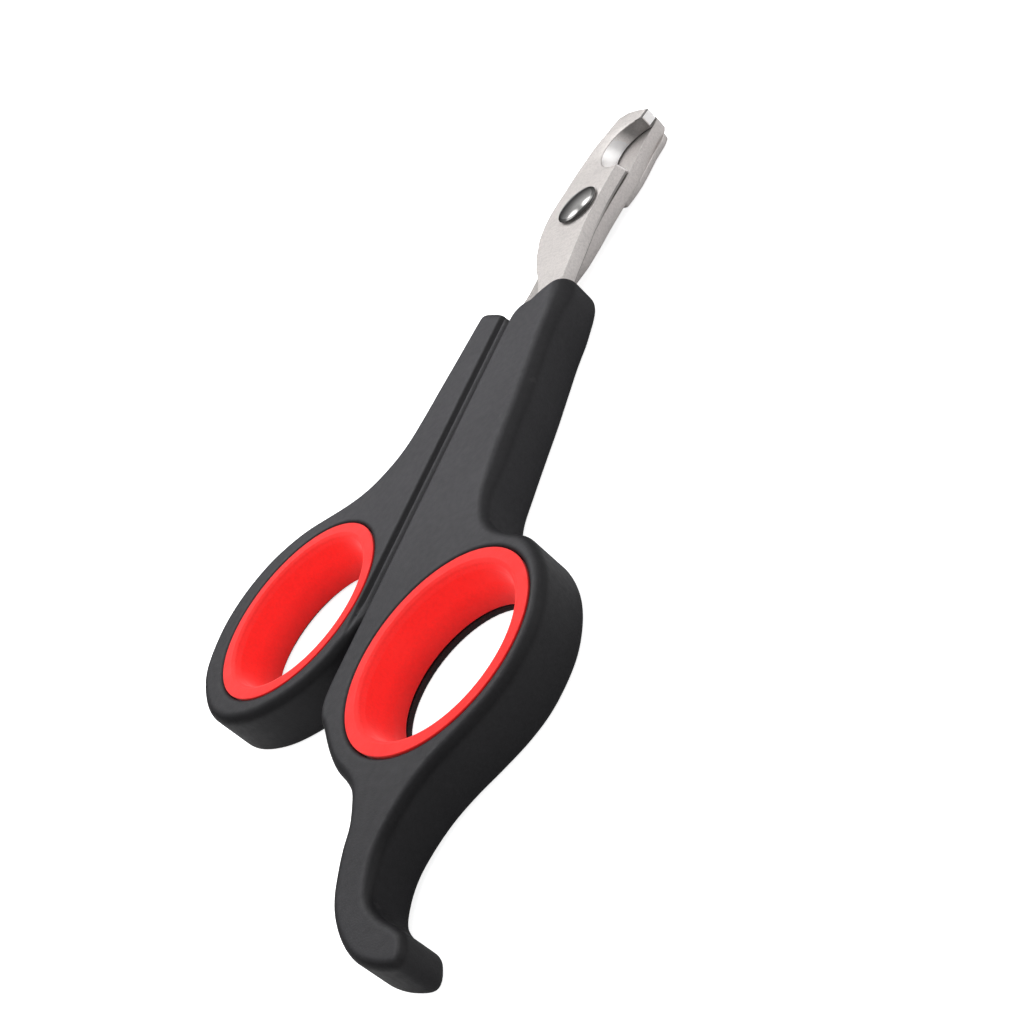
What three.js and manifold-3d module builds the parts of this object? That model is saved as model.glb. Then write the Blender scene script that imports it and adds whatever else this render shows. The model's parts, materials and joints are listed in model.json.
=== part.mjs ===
// Pet nail trimmer: two notched steel blades on one pivot, each carried by its own
// moulded handle with a soft liner in its ring.  Millimetres, +Z up.
// It lies closed and flat.  Origin: the middle of the footprint, on the resting surface.
// +Y runs along the closing line toward the blade tips, +X toward the finger handle.
// The front blade is the upper one (+Z), the rear blade the lower one.
// All sizes are drawn about the pivot, where z = 0 is the contact plane of the blades.
import * as THREE from "three";
import { mergeVertices } from "three/addons/utils/BufferGeometryUtils.js";
import Module from "manifold-3d";

const wasm = await Module();
wasm.setup();

// ---------------------------------------------------------------- driving sizes
const HANDLE_HALF = 3.4; // half the handle thickness
const PIVOT = [1.9, 42.5, HANDLE_HALF]; // pivot point, from the origin
const OVERRUN = 1; // cutters pass this far beyond the faces they open

const EDGE_ROUND = 1.25; // rounding of the handles' outer edges
const TAIL_SLOPE = 2.2; // degrees each face of the finger rest falls away
const TAIL_START_Y = -81;
const GAP_FINGER_X = -0.85; // closing faces of the two handles
const GAP_THUMB_X = -1.15;
const TANG_TOP_Y = -14; // the part of a blade below this is its tang
const TANG_CLEAR = 0.3;

const FINGER_RING = [15.0, -70.05]; // ring centres
const THUMB_RING = [-15.9, -60.05];
const LINER_R = 12;
const LINER_BORE_TOP = 10.1;
const LINER_BORE_LOW = 9.3;
const LINER_TOP = HANDLE_HALF - 0.05;
const RING_CLEAR = 0.3;
const LEDGE_BORE_R = 9.25; // bore of the ledge under the liner
const LEDGE_TOP = -HANDLE_HALF + 0.8;
const LINER_LOW = LEDGE_TOP + 0.2;

const BLADE_THICK = 1.95;
const BLADE_GAP = 0.05; // each blade stands this far off the contact plane
const FRONT_LOW = BLADE_GAP;
const FRONT_TOP = FRONT_LOW + BLADE_THICK;
const REAR_TOP = -BLADE_GAP;
const REAR_LOW = REAR_TOP - BLADE_THICK;
const JAW_RISE = 0.75; // how far the rear jaw stands proud of the rear blade's outer face
const JAW_OVERLAP = 0.5; // how far it reaches into the blade

const NOTCH_R = 3.95; // half-round cutting notch at the blade's inner face
const NOTCH_FLARE = 0.3; // it is this much wider at the outer face
const NOTCH_LEAN = [-0.9, -0.3]; // axis shift there on the front blade; X mirrors on the rear
const NOTCH_START = -0.5; // the notch cutter starts this far short of the inner face
const FRONT_NOTCH = [4.85, 10.4];
const REAR_NOTCH = [-4.4, 10.6];

const PIVOT_HOLE_R = 1.9;
const WASHER_R = 2.85;
const WASHER_HOLE_R = 1.9;
const WASHER_LOW = FRONT_TOP + 0.05;
const WASHER_TOP = WASHER_LOW + 0.2;
const NUT_HEAD_R = 3;
const NUT_HEAD_RISE = 0.6;
const NUT_HEAD_LOW = WASHER_TOP + 0.05;
const BARREL_R = 1.6;
const BARREL_LOW = REAR_LOW + 1.1;
const NUT_BORE_R = 1.1;
const NUT_BORE_TOP = 1.2;

const SCREW_R = 0.85;
const SCREW_TOP = 0.9;
const SCREW_LOW = REAR_LOW - 0.15;
const SCREW_HEAD_R = 2.45; // countersunk into the rear blade
const SCREW_HEAD_TOP = REAR_LOW + 0.8;
const SCREW_HEAD_TAPER = 0.8; // radius lost from its rim to its upper end
const SCREW_HEAD_BREAK = 0.1; // chamfer round its outer face
const SLOT_WIDTH = 0.7;
const SLOT_DEPTH = 0.5;

// Facets round each turned shape
const RING_SIDES = 60;
const PIVOT_SIDES = 48;
const NOTCH_SIDES = 48;
const NUT_BORE_SIDES = 32;
const EDGE_ROUND_STEPS = 2;

// Steps along each handle's smooth curve
const FINGER_STEPS = 112;
const THUMB_STEPS = 84;

// ---------------------------------------------------------------- finishes
const HANDLE_FINISH = { color: 0x3b3a3d, roughness: 0.62, metalness: 0 };
const LINER_FINISH = { color: 0xf02c26, roughness: 0.5, metalness: 0 };
const FRONT_STEEL = { color: 0xd9d5d1, roughness: 0.34, metalness: 1 };
const REAR_STEEL = { color: 0xcfcac6, roughness: 0.36, metalness: 1 };
const NUT_STEEL = { color: 0xb9b6b3, roughness: 0.25, metalness: 1 };
const WASHER_STEEL = { color: 0xa8a39c, roughness: 0.4, metalness: 1 };
const SCREW_STEEL = { color: 0xb5b2ae, roughness: 0.3, metalness: 1 };

// ---------------------------------------------------------------- outlines, [x, y]
// Finger handle, from the top of the closing face clockwise to its foot.
const FINGER_OUTLINE = [
  [GAP_FINGER_X, -20.0], [-0.5, -19.0], [0.05, -17.9], [0.85, -16.6], [2.5, -15.25], [4.5, -14.6],
  [6.1, -15.0], [7.1, -16.7], [7.45, -20.0], [7.8, -25.3], [8.5, -30], [9.25, -35], [9.85, -40],
  [10.5, -45], [11.25, -49.55], [12.85, -52.8], [15.2, -54.9], [18.2, -56.2], [21.3, -57.3],
  [24.0, -59.45], [26.2, -62.1], [27.75, -65.2], [28.65, -68.5], [28.7, -71.7], [28.1, -74.95],
  [26.7, -77.8], [24.6, -80.6], [22.5, -83.2], [20.9, -85.9], [20.0, -88.75], [19.7, -91.3],
  [20.15, -93.75], [21.2, -96.2], [23.5, -97.7], [25.9, -98.45], [27.75, -99.2], [28.7, -100.2],
  [28.9, -101.3], [28.2, -102.25], [26.8, -102.5], [25.0, -102.45], [22.45, -101.8],
  [19.95, -100.5], [17.65, -98.6], [15.8, -96.3], [14.55, -93.85], [13.75, -91.4], [13.35, -89.35],
  [12.4, -87.3], [11.15, -85.35], [9.3, -83.95], [6.75, -82.5], [4.2, -80.45], [2.15, -78.45],
  [0.4, -76.5], [-0.5, -74.5], [GAP_FINGER_X, -72.3],
];
// Thumb handle, from the foot of the closing face clockwise to the top of the left side.
const THUMB_OUTLINE = [
  [GAP_THUMB_X, -61.0], [-1.55, -63.5], [-2.6, -66.4], [-4.5, -69.4], [-7.3, -71.8],
  [-10.9, -73.55], [-15.0, -74.6], [-19.95, -74.15], [-24.25, -72.6], [-27.6, -70.3],
  [-30.35, -66.9], [-31.7, -63.1], [-32.15, -59.2], [-31.6, -55.7], [-30.35, -52.7],
  [-28.55, -50.15], [-26.1, -48.05], [-23.45, -46.55], [-20.45, -45.5], [-17.85, -44.65],
  [-15.4, -43.6], [-13.6, -42.35], [-12.2, -40.7], [-11.1, -38.9], [-10.35, -36.7], [-9.8, -33.05],
  [-9.4, -29], [-8.85, -24], [-8.5, -20.4],
];
// Its slanted upper end, joined by straight lines.
const THUMB_TOP = [[-8.1, -16.5], [-4.6, -17.6], [GAP_THUMB_X, -20.1]];

// Front blade, clockwise: cutting side on the right, spine on the left, tang toward -Y.
const FRONT_BLADE = [
  [5.3, 15.8], [4.72, 14.3], [4.35, 12.0], [4.25, 9.0], [4.1, 6.2], [3.6, 3.0], [3.3, 0.5],
  [3.1, -4.0], [3.4, -7.2], [3.8, -12.0], [4.1, -14.5], [4.6, -18.0], [5.0, -30], [5.0, -44],
  [4.2, -45], [2.6, -45], [1.8, -44], [1.3, -30], [0.6, -19], [0.1, -15], [-1.3, -12.3],
  [-2.75, -10.1], [-4.1, -7.4], [-5.45, -3.7], [-5.8, -1.25], [-5.85, 0.8], [-5.5, 2.9],
  [-5.0, 5.1], [-4.6, 7.0], [-4.15, 8.9], [-3.0, 12.7], [-2.15, 14.1], [-1.4, 15.6], [-0.6, 17.0],
  [1.1, 17.25], [3.1, 16.7],
];
// Rear blade, clockwise: spine on the right, cutting side on the left.
const REAR_BLADE = [
  [4.3, 17.05], [4.85, 15.75], [4.6, 13.7], [4.4, 11.3], [4.4, 8.4], [4.15, 5.2], [3.5, 2.2],
  [2.9, -1.3], [2.5, -4.7], [1.9, -8.0], [0.4, -11.6], [-1.3, -15], [-2.2, -18], [-2.7, -30],
  [-3.0, -43], [-3.8, -44], [-5.2, -44], [-6.0, -43], [-6.3, -30], [-6.4, -19], [-6.1, -15],
  [-5.3, -11.2], [-5.2, -8], [-5.1, -4], [-4.9, -1], [-4.75, 3], [-4.55, 6.4], [-3.9, 10.6],
  [-2.6, 14.4], [-2.0, 15.6], [-0.9, 16.6], [1.2, 17.1], [2.9, 17.3],
];
// Thicker jaw on the rear blade's outer face; its -Y edge stays clear of the pivot screw.
const REAR_JAW = [
  [3.1, 3.1], [3.55, 4.05], [3.95, 5.15], [4.3, 6.6], [4.5, 8.6], [4.65, 11.3], [5.15, 13.7],
  [5.0, 15.1], [4.25, 16.1], [2.9, 17.0], [1.2, 16.9], [-0.8, 16.4], [-1.9, 15.4], [-2.5, 14.2],
  [-3.75, 10.6], [-4.4, 6.4], [-4.5, 4.7], [-2.4, 4.35], [0, 4.0], [1.7, 3.6], [2.6, 3.15],
];

// ---------------------------------------------------------------- helpers
const toVectors = (points) => points.map(([x, y]) => new THREE.Vector2(x, y));

// Smooth open curve through the points, then straight lines through the rest and back.
function smoothShape(points, steps, straight) {
  const knots = points.map(([x, y]) => new THREE.Vector3(x, y, 0));
  const curve = new THREE.CatmullRomCurve3(knots, false, "centripetal");
  const smooth = curve.getPoints(steps).map(({ x, y }) => new THREE.Vector2(x, y));
  return new THREE.Shape([...smooth, ...toVectors(straight)]);
}

// Pushes each corner of a clockwise outline out along its own bisector.
function grown(points, distance) {
  const outward = ([x0, y0], [x1, y1]) => new THREE.Vector2(y0 - y1, x1 - x0).normalize();
  const count = points.length;
  return points.map((corner, i) => {
    const before = outward(points[(i + count - 1) % count], corner);
    const after = outward(corner, points[(i + 1) % count]);
    const bisector = before.clone().add(after).normalize();
    const reach = distance / Math.max(0.5, bisector.dot(before)); // limits sharp corners
    return [corner[0] + bisector.x * reach, corner[1] + bisector.y * reach];
  });
}

function slab(points, low, top) {
  const shape = new THREE.Shape(toVectors(points));
  return new THREE.ExtrudeGeometry(shape, { depth: top - low, bevelEnabled: false })
    .translate(0, 0, low);
}

// Slab centred on z = 0 with rounded edges, kept inside the shape.
function roundedSlab(shape, half, round) {
  return new THREE.ExtrudeGeometry(shape, {
    depth: 2 * (half - round),
    bevelThickness: round,
    bevelSize: round,
    bevelOffset: -round,
    bevelSegments: EDGE_ROUND_STEPS,
  }).translate(0, 0, -(half - round));
}

function cone({ topRadius, lowRadius, low, top, sides, centre: [x, y] = [0, 0] }) {
  return new THREE.CylinderGeometry(topRadius, lowRadius, top - low, sides)
    .rotateX(Math.PI / 2)
    .translate(x, y, (low + top) / 2);
}

const drum = ({ radius, ...rest }) => cone({ topRadius: radius, lowRadius: radius, ...rest });

// Solid turned about Z; the profile is a list of [radius, z].
function turned(profile, sides, [x, y] = [0, 0]) {
  return solid(new THREE.LatheGeometry(toVectors(profile), sides)
    .rotateX(Math.PI / 2)
    .translate(x, y, 0));
}

// Welds a closed geometry into a manifold, turning its faces outward if need be.
function solid(geometry) {
  geometry.deleteAttribute("normal");
  geometry.deleteAttribute("uv");
  const welded = mergeVertices(geometry, 1e-4);
  const vertProperties = new Float32Array(welded.attributes.position.array);
  const triVerts = new Uint32Array(welded.index.array);
  const build = () => new wasm.Manifold(new wasm.Mesh({ numProp: 3, vertProperties, triVerts }));
  const made = build();
  if (made.volume() >= 0) return made;
  for (let i = 0; i < triVerts.length; i += 3) {
    [triVerts[i + 1], triVerts[i + 2]] = [triVerts[i + 2], triVerts[i + 1]];
  }
  return build();
}

const cut = (base, ...tools) => tools.reduce((body, tool) => body.subtract(solid(tool)), base);

const group = new THREE.Group();
group.name = "pet_nail_trimmer";
const aboutPivot = new THREE.Group();
aboutPivot.position.set(...PIVOT);
group.add(aboutPivot);

// Adds a finished solid as a flat-shaded mesh.
function put(name, made, finish) {
  const { vertProperties, triVerts } = made.getMesh();
  const indexed = new THREE.BufferGeometry();
  indexed.setAttribute("position", new THREE.BufferAttribute(vertProperties, 3));
  indexed.setIndex(new THREE.BufferAttribute(triVerts, 1));
  const geometry = indexed.toNonIndexed();
  geometry.computeVertexNormals();
  const mesh = new THREE.Mesh(geometry, new THREE.MeshStandardMaterial(finish));
  mesh.name = name;
  aboutPivot.add(mesh);
}

// ---------------------------------------------------------------- handles
// Rounded body with a ring hole that leaves a ledge under the liner.
function handle(shape, centre) {
  const top = HANDLE_HALF + OVERRUN;
  const sides = RING_SIDES;
  return cut(
    solid(roundedSlab(shape, HANDLE_HALF, EDGE_ROUND)),
    drum({ radius: LINER_R + RING_CLEAR, low: LEDGE_TOP, top, sides, centre }),
    drum({ radius: LEDGE_BORE_R, low: -HANDLE_HALF - OVERRUN, top, sides, centre }),
  );
}

// Block whose inner face falls away along -Y; it thins the finger rest.
// side: +1 cuts the upper face, -1 the lower one.
function tailCutter(side) {
  return new THREE.BoxGeometry(80, 60, 10)
    .translate(20, -30, 5)
    .rotateX(THREE.MathUtils.degToRad(TAIL_SLOPE))
    .translate(0, TAIL_START_Y, HANDLE_HALF)
    .scale(1, 1, side);
}

function tangPocket(outline, low, top) {
  const tang = outline.filter(([, y]) => y < TANG_TOP_Y);
  return slab(grown(tang, TANG_CLEAR), low - TANG_CLEAR, top + TANG_CLEAR);
}

put("finger_handle", cut(
  handle(smoothShape(FINGER_OUTLINE, FINGER_STEPS, []), FINGER_RING),
  tailCutter(1),
  tailCutter(-1),
  tangPocket(FRONT_BLADE, FRONT_LOW, FRONT_TOP),
), HANDLE_FINISH);

put("thumb_handle", cut(
  handle(smoothShape(THUMB_OUTLINE, THUMB_STEPS, THUMB_TOP), THUMB_RING),
  tangPocket(REAR_BLADE, REAR_LOW, REAR_TOP),
), HANDLE_FINISH);

// ---------------------------------------------------------------- ring liners
const LINER_PROFILE = [
  [LINER_BORE_LOW, LINER_LOW],
  [LINER_R, LINER_LOW],
  [LINER_R, LINER_TOP - 0.2],
  [LINER_R - 0.2, LINER_TOP],
  [LINER_R - 1.3, LINER_TOP],
  [LINER_BORE_TOP + 0.2, LINER_TOP - 0.45],
  [LINER_BORE_TOP - 0.05, LINER_TOP - 1.15],
  [LINER_BORE_LOW, LINER_LOW],
];
put("finger_ring_liner", turned(LINER_PROFILE, RING_SIDES, FINGER_RING), LINER_FINISH);
put("thumb_ring_liner", turned(LINER_PROFILE, RING_SIDES, THUMB_RING), LINER_FINISH);

// ---------------------------------------------------------------- blades
// Leaning cone that flares from the blade's inner face past its outer face.
function notchCutter([x, y], innerZ, isRear) {
  const end = BLADE_THICK + OVERRUN;
  const radiusAt = (z) => NOTCH_R + NOTCH_FLARE * z / BLADE_THICK;
  const [leanX, leanY] = NOTCH_LEAN.map((shift) => shift / BLADE_THICK);
  const cutter = cone({
    topRadius: radiusAt(end),
    lowRadius: radiusAt(NOTCH_START),
    low: NOTCH_START,
    top: end,
    sides: NOTCH_SIDES,
  });
  cutter.applyMatrix4(new THREE.Matrix4().set(
    1, 0, leanX, 0,
    0, 1, leanY, 0,
    0, 0, 1, 0,
    0, 0, 0, 1,
  ));
  if (isRear) cutter.rotateY(Math.PI);
  return cutter.translate(x, y, innerZ);
}

const pivotHole = (low, top) => drum({
  radius: PIVOT_HOLE_R, low: low - OVERRUN, top: top + OVERRUN, sides: PIVOT_SIDES,
});

function frontBlade() {
  return cut(
    solid(slab(FRONT_BLADE, FRONT_LOW, FRONT_TOP)),
    notchCutter(FRONT_NOTCH, FRONT_LOW, false),
    pivotHole(FRONT_LOW, FRONT_TOP),
  );
}

function rearBlade() {
  const jaw = solid(slab(REAR_JAW, REAR_LOW - JAW_RISE, REAR_LOW + JAW_OVERLAP));
  const countersink = cone({
    topRadius: PIVOT_HOLE_R - 0.05,
    lowRadius: SCREW_HEAD_R + 0.75,
    low: REAR_LOW - 0.5,
    top: REAR_LOW + 0.9,
    sides: PIVOT_SIDES,
  });
  return cut(
    solid(slab(REAR_BLADE, REAR_LOW, REAR_TOP)).add(jaw),
    notchCutter(REAR_NOTCH, REAR_TOP, true),
    pivotHole(REAR_LOW, REAR_TOP),
    countersink,
  );
}

put("front_blade", frontBlade(), FRONT_STEEL);
put("rear_blade", rearBlade(), REAR_STEEL);

// ---------------------------------------------------------------- pivot hardware
// Low domed head over the front blade, hollow barrel reaching down into the rear blade.
function domeNut() {
  return cut(turned([
    [0, BARREL_LOW],
    [BARREL_R, BARREL_LOW],
    [BARREL_R, NUT_HEAD_LOW],
    [NUT_HEAD_R - 0.15, NUT_HEAD_LOW],
    [NUT_HEAD_R, NUT_HEAD_LOW + 0.08],
    [NUT_HEAD_R, NUT_HEAD_LOW + 0.2],
    [NUT_HEAD_R - 0.25, NUT_HEAD_LOW + 0.33],
    [NUT_HEAD_R * 0.72, NUT_HEAD_LOW + 0.48],
    [NUT_HEAD_R * 0.4, NUT_HEAD_LOW + 0.57],
    [0, NUT_HEAD_LOW + NUT_HEAD_RISE],
  ], PIVOT_SIDES), drum({
    radius: NUT_BORE_R, low: BARREL_LOW - OVERRUN, top: NUT_BORE_TOP, sides: NUT_BORE_SIDES,
  }));
}

// Thin washer between the front blade and the nut's head.
function washer() {
  return turned([
    [WASHER_HOLE_R, WASHER_LOW],
    [WASHER_R, WASHER_LOW],
    [WASHER_R, WASHER_TOP],
    [WASHER_HOLE_R, WASHER_TOP],
    [WASHER_HOLE_R, WASHER_LOW],
  ], PIVOT_SIDES);
}

// Slotted countersunk screw from below, almost flush with the rear blade.
function pivotScrew() {
  const slot = new THREE.BoxGeometry(2 * SCREW_HEAD_R + 1, SLOT_WIDTH, 2 * SLOT_DEPTH)
    .translate(0, 0, SCREW_LOW);
  return cut(turned([
    [0, SCREW_LOW],
    [SCREW_HEAD_R - SCREW_HEAD_BREAK, SCREW_LOW],
    [SCREW_HEAD_R, SCREW_LOW + SCREW_HEAD_BREAK],
    [SCREW_HEAD_R - SCREW_HEAD_TAPER, SCREW_HEAD_TOP],
    [SCREW_R, SCREW_HEAD_TOP],
    [SCREW_R, SCREW_TOP],
    [0, SCREW_TOP],
  ], PIVOT_SIDES), slot);
}

put("pivot_dome_nut", domeNut(), NUT_STEEL);
put("tension_washer", washer(), WASHER_STEEL);
put("pivot_screw", pivotScrew(), SCREW_STEEL);

export default group;
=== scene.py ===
"""Scissor-type cutter with two looped plastic handles, red loop liners and short notched blades.

It lies flat with the pivot axis along Z. From the pivot the blades reach towards +Y and the
handles towards -Y, the finger handle mostly at +X and the thumb handle at -X. The front blade
is the upper one (+Z), the rear blade the lower one. Shapes are drawn in millimetres about the
pivot and moved to the CAD frame, in metres, when their meshes are made.
"""
import json
import math

import bmesh
import bpy
import numpy as np
from mathutils import Matrix, Vector, geometry, kdtree


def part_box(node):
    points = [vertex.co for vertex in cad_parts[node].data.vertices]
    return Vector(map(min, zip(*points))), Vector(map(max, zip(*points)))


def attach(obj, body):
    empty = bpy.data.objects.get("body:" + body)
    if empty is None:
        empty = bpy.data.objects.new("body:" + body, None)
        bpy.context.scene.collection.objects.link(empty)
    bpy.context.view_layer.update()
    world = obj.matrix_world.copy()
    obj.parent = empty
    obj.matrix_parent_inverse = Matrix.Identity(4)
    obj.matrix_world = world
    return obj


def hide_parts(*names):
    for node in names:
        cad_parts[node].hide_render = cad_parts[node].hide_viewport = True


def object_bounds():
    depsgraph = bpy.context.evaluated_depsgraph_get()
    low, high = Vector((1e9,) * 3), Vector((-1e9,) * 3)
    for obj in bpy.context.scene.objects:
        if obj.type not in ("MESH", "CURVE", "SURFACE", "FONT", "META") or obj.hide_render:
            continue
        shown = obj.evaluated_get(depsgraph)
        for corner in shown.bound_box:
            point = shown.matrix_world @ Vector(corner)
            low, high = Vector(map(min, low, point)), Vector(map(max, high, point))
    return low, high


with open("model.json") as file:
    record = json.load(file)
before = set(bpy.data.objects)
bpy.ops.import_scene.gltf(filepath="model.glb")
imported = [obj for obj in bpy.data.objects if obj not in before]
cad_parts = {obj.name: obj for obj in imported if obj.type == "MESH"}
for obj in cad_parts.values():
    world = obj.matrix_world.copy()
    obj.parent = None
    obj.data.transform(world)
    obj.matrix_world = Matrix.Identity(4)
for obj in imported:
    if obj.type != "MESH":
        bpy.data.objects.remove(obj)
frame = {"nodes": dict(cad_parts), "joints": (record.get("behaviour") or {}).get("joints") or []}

CAD_BOX = [list(c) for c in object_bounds()]
MM = 1000.0  # millimetres in a metre
PIVOT = np.array(frame["joints"][0]["pos_m"], float) * MM


def mm_box(node):
    """Low and high corners of a CAD piece, mm about the pivot."""
    low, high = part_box(node)
    return np.array(low) * MM - PIVOT, np.array(high) * MM - PIVOT


def box_centre(node):
    low, high = mm_box(node)
    return (low + high)[:2] / 2


# ------------------------------------------------------------------ sizes, mm
handle_low, handle_high = mm_box("finger_handle")
HALF_THICK = float((handle_high[2] - handle_low[2]) / 2)

liner_low, liner_high = mm_box("finger_ring_liner")
FINGER_RING = box_centre("finger_ring_liner")
THUMB_RING = box_centre("thumb_ring_liner")
LINER_R = float((liner_high - liner_low)[0] / 2)
LINER_LOW = float(liner_low[2])
BORE_R = LINER_R + .11    # liner seat in the handle
LEDGE_Z = LINER_LOW - .2  # floor of that seat

TANG_Z = 1.025        # mid-height of a blade's tang, above or below the pivot plane
TANG_HALF = 1.06      # half height of the slot round it
TANG_CLEARANCE = .1
TANG_TOP = -14        # blade outline points below this y belong to the tang

BLADE_GAP = .05       # pivot plane to a blade's mating face
BLADE_THICK = 1.95
REAR_FACE_Z = -2.0    # underside of the rear blade
JAW_TOP_Z = -1.92     # top of the pad under the rear blade's jaw
HOLE_R = 1.9          # pivot hole
SINK_Z = -1.1         # the rear blade's hole widens below this height
SINK_SLOPE = .944
FRONT_NOTCH = (4.85, 10.4)
REAR_NOTCH = (-4.4, 10.6)
NOTCH_R = 3.95
NOTCH_FLARE = .3      # radius gained through the blade's thickness
NOTCH_LEAN = (.9, -.3)  # shift of the notch through the thickness: into the blade, along y

# ------------------------------------------------------------------ outlines: x, y
FINGER_OUTLINE = [
    [-0.85, -20.0], [-0.5, -19.0], [0.05, -17.9], [0.85, -16.6], [2.5, -15.25], [4.6, -14.5],
    [6.1, -15.1], [7.05, -17.2], [7.4, -20.4], [7.8, -25.3], [8.5, -30], [9.25, -35], [9.85, -40],
    [10.5, -45], [11.25, -49.55], [12.85, -52.8], [15.2, -54.9], [18.2, -56.2], [21.3, -57.3],
    [24.0, -59.45], [26.2, -62.1], [27.75, -65.2], [28.65, -68.5], [28.7, -71.7], [28.1, -74.95],
    [26.7, -77.8], [24.6, -80.6], [22.5, -83.2], [20.9, -85.9], [20.0, -88.75], [19.7, -91.3],
    [20.15, -93.75], [21.2, -96.2], [23.5, -97.7], [25.9, -98.5], [27.75, -99.25], [28.45, -100.15],
    [28.93, -101.2], [28.7, -102.1], [27.4, -102.4], [25.0, -102.35], [22.45, -101.8],
    [19.95, -100.5], [17.65, -98.6], [15.8, -96.3], [14.55, -93.85], [13.75, -91.4],
    [13.35, -89.35], [12.4, -87.3], [11.15, -85.35], [9.3, -83.95], [6.75, -82.5], [4.2, -80.45],
    [2.15, -78.45], [0.4, -76.5], [-0.5, -74.5], [-0.85, -72.3],
]
THUMB_OUTLINE = [
    [-1.15, -61.0], [-1.55, -63.5], [-2.6, -66.4], [-4.5, -69.4], [-7.3, -71.8], [-10.9, -73.55],
    [-15.0, -74.6], [-20.1, -74.5], [-24.2, -72.95], [-27.6, -70.3], [-30.35, -66.9],
    [-31.7, -63.1], [-32.15, -59.2], [-31.6, -55.7], [-30.35, -52.7], [-28.55, -50.15],
    [-26.1, -48.05], [-23.45, -46.55], [-20.45, -45.5], [-17.85, -44.65], [-15.4, -43.6],
    [-13.6, -42.35], [-12.2, -40.7], [-11.1, -38.9], [-10.35, -36.7], [-9.8, -33.05], [-9.4, -29],
    [-8.85, -24], [-8.5, -20.4],
]
# straight-sided end of the thumb handle, next to the blades
THUMB_TOP = [[-8.2, -17.6], [-7.75, -16.85], [-7.0, -16.75], [-4.6, -17.6], [-1.15, -20.1]]
FRONT_BLADE = [
    [5.3, 15.8], [4.72, 14.3], [4.35, 12.0], [4.25, 9.0], [4.1, 6.2], [3.6, 3.0], [3.3, 0.5],
    [3.1, -4.0], [3.4, -7.2], [3.8, -12.0], [4.1, -14.5], [4.6, -18.0], [5.0, -30], [5.0, -44],
    [4.2, -45], [2.6, -45], [1.8, -44], [1.3, -30], [0.6, -19], [0.1, -15], [-1.3, -12.3],
    [-2.75, -10.1], [-4.1, -7.4], [-5.45, -3.7], [-5.8, -1.25], [-5.85, 0.8], [-5.5, 2.9],
    [-5.0, 5.1], [-4.6, 7.0], [-4.15, 8.9], [-3.0, 12.7], [-2.15, 14.1], [-1.4, 15.6],
    [-0.6, 17.0], [1.1, 17.25], [3.1, 16.7],
]
REAR_BLADE = [
    [4.3, 17.05], [4.85, 15.75], [4.6, 13.7], [4.4, 11.3], [4.4, 8.4], [4.15, 5.2], [3.5, 2.2],
    [2.9, -1.3], [2.5, -4.7], [1.9, -8.0], [0.4, -11.6], [-1.3, -15], [-2.2, -18], [-2.7, -30],
    [-3.0, -43], [-3.8, -44], [-5.2, -44], [-6.0, -43], [-6.3, -30], [-6.4, -19], [-6.1, -15],
    [-5.3, -11.2], [-5.2, -8], [-5.1, -4], [-4.9, -1], [-4.75, 3], [-4.55, 6.4], [-3.9, 10.6],
    [-2.6, 14.4], [-2.0, 15.6], [-0.9, 16.6], [1.2, 17.1], [2.9, 17.3],
]
REAR_JAW = [
    [3.1, 3.1], [3.55, 4.05], [3.95, 5.15], [4.3, 6.6], [4.5, 8.6], [4.65, 11.3], [5.15, 13.7],
    [5.0, 15.1], [4.25, 16.1], [2.9, 17.0], [1.2, 16.9], [-0.8, 16.4], [-1.9, 15.4], [-2.5, 14.2],
    [-3.75, 10.6], [-4.4, 6.4], [-4.5, 4.7], [-2.4, 4.35], [0, 4.0], [1.7, 3.6], [2.6, 3.15],
]


# ------------------------------------------------------------------ curves
def catmull(points, per):
    """Open centripetal Catmull-Rom curve, with `per` steps between neighbouring points."""
    p = np.array(points, float)
    p = np.vstack([2 * p[0] - p[1], p, 2 * p[-1] - p[-2]])
    t = np.arange(per)[:, None] / per
    out = []
    for i in range(1, len(p) - 2):
        p0, p1, p2, p3 = p[i - 1:i + 3]
        gap0, gap1, gap2 = [max(1e-6, np.sum((b - a) ** 2) ** .25)
                            for a, b in ((p0, p1), (p1, p2), (p2, p3))]
        slope1 = ((p1 - p0) / gap0 - (p2 - p0) / (gap0 + gap1) + (p2 - p1) / gap1) * gap1
        slope2 = ((p2 - p1) / gap1 - (p3 - p1) / (gap1 + gap2) + (p3 - p2) / gap2) * gap1
        out.append((2 * t ** 3 - 3 * t ** 2 + 1) * p1 + (t ** 3 - 2 * t ** 2 + t) * slope1
                   + (-2 * t ** 3 + 3 * t ** 2) * p2 + (t ** 3 - t ** 2) * slope2)
    out.append(p[-2][None])
    return np.vstack(out)


def resample(loop, step=None, count=None, closed=True):
    """Points at equal spacing along a polyline."""
    path = np.vstack([loop, loop[:1]]) if closed else np.array(loop, float)
    run = np.concatenate([[0], np.cumsum(np.linalg.norm(np.diff(path, axis=0), axis=1))])
    count = count or max(8, int(round(run[-1] / step)))
    at = np.linspace(0, run[-1], count, endpoint=not closed)
    return np.stack([np.interp(at, run, path[:, k]) for k in (0, 1)], 1)


def soften(loop, step, sigma):
    """Rounds the corners of an evenly spaced closed loop with a Gaussian blur."""
    reach = int(math.ceil(4 * sigma / step))
    weights = np.exp(-.5 * (np.arange(-reach, reach + 1) * step / sigma) ** 2)
    weights /= weights.sum()
    return sum(weight * np.roll(loop, -shift, axis=0)
               for shift, weight in zip(range(-reach, reach + 1), weights))


def counter_clockwise(loop):
    x, y = loop[:, 0], loop[:, 1]
    area = np.sum(x * np.roll(y, -1) - np.roll(x, -1) * y)
    return loop if area > 0 else loop[::-1].copy()


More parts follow.
